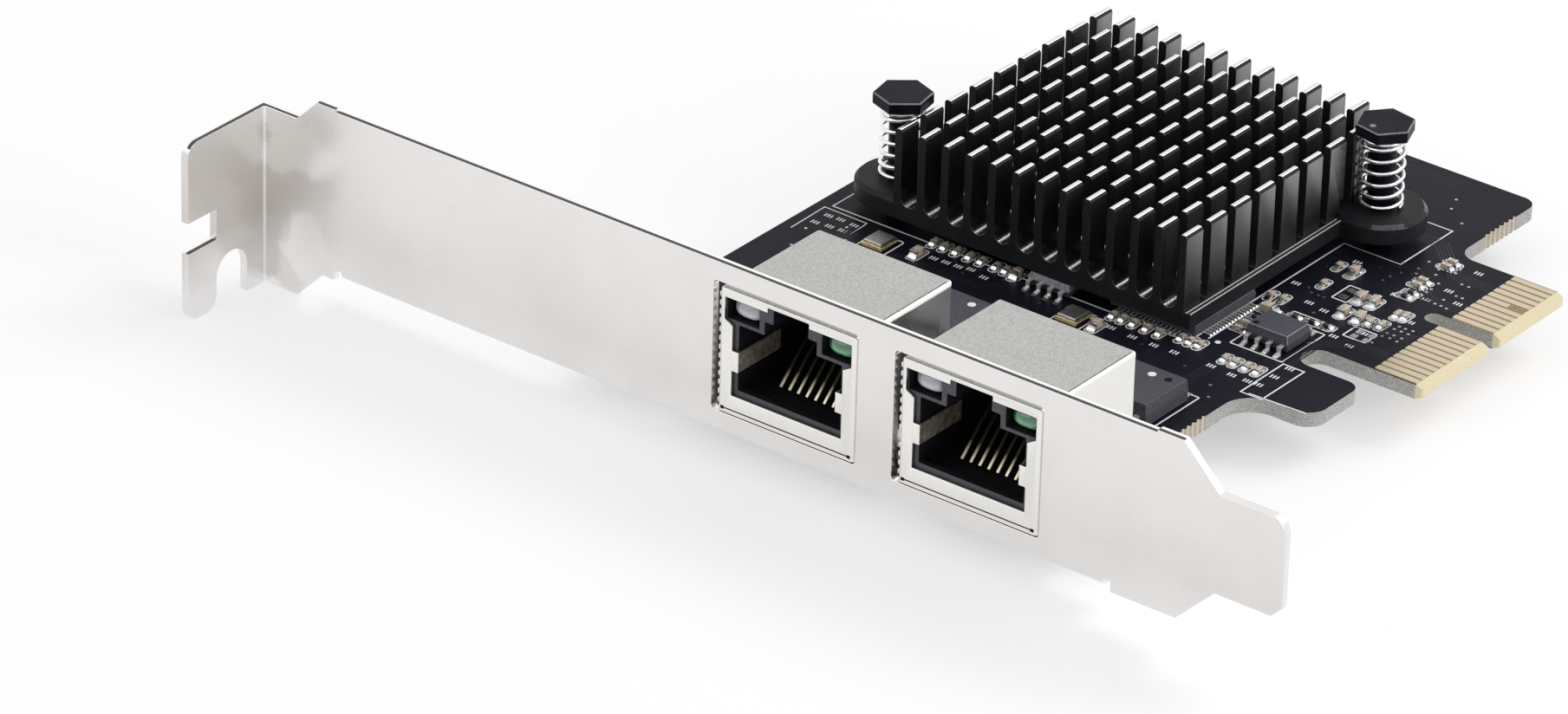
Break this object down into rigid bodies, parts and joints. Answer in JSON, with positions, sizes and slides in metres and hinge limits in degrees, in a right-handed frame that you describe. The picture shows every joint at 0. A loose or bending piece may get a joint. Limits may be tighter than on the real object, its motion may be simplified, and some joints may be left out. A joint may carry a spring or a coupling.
{
  "type": "network interface card",
  "caption": "Expansion card for a server with modular network ports, a finned heatsink held by sprung pins, an edge connector and a full-height slot bracket.",
  "frame": {"origin": "under the middle of the card's box, level with the lowest point of the bracket's bent tab", "axes": "+X runs along the bracket from its bent tab to its tongue, +Y from the ports towards the back edge of the board, +Z out of the board's component side"},
  "size_m": [0.12, 0.0956, 0.0216],
  "materials": {
    "plated_steel": "nickel plated, satin",
    "screw_steel": "zinc plated",
    "board_laminate": "glass fibre laminate under black solder mask",
    "gold_plating": "gold plated copper",
    "black_anodised": "black anodised, bright cut edges",
    "thermal_pad": "soft silicone",
    "pin_plastic": "moulded nylon",
    "spring_steel": "bright drawn wire",
    "chip_mould": "moulded epoxy",
    "tinned_lead": "tin plated",
    "crystal_gold": "gold plated rim on ceramic",
    "crystal_lid": "nickel plated lid",
    "capacitor_ceramic": "ceramic with tinned ends",
    "resistor_film": "film on ceramic with tinned ends",
    "tinned_shell": "tin plated steel, mottled",
    "housing_plastic": "moulded, matt",
    "gold_wire": "gold plated spring wire",
    "clear_lens": "clear to milky epoxy",
    "green_lens": "tinted epoxy",
    "transformer_mould": "moulded epoxy"
  },
  "bodies": {
    "root": {"bracket": "plated_steel", "bracket_screws": "screw_steel", "circuit_board": "board_laminate", "edge_contacts_top": "gold_plating", "edge_contacts_bottom": "gold_plating", "heatsink": "black_anodised", "thermal_pads": "thermal_pad", "push_pin_left": "pin_plastic", "push_pin_right": "pin_plastic", "pin_spring_left": "spring_steel", "pin_spring_right": "spring_steel", "bridge_chip": "chip_mould", "bridge_chip_leads": "tinned_lead", "controller_chips": "chip_mould", "flash_chip": "chip_mould", "flash_chip_leads": "tinned_lead", "power_chip": "chip_mould", "power_chip_leads": "tinned_lead", "crystal_bases": "crystal_gold", "crystal_lids": "crystal_lid", "ceramic_capacitors": "capacitor_ceramic", "chip_resistors": "resistor_film", "jack_shell_1": "tinned_shell", "jack_shell_2": "tinned_shell", "jack_housing_1": "housing_plastic", "jack_housing_2": "housing_plastic", "jack_contacts_1": "gold_wire", "jack_contacts_2": "gold_wire", "clear_led_1": "clear_lens", "clear_led_2": "clear_lens", "green_led_1": "green_lens", "green_led_2": "green_lens", "transformer_1": "transformer_mould", "transformer_2": "transformer_mould", "transformer_leads_1": "tinned_lead", "transformer_leads_2": "tinned_lead"}
  },
  "joints": []
}
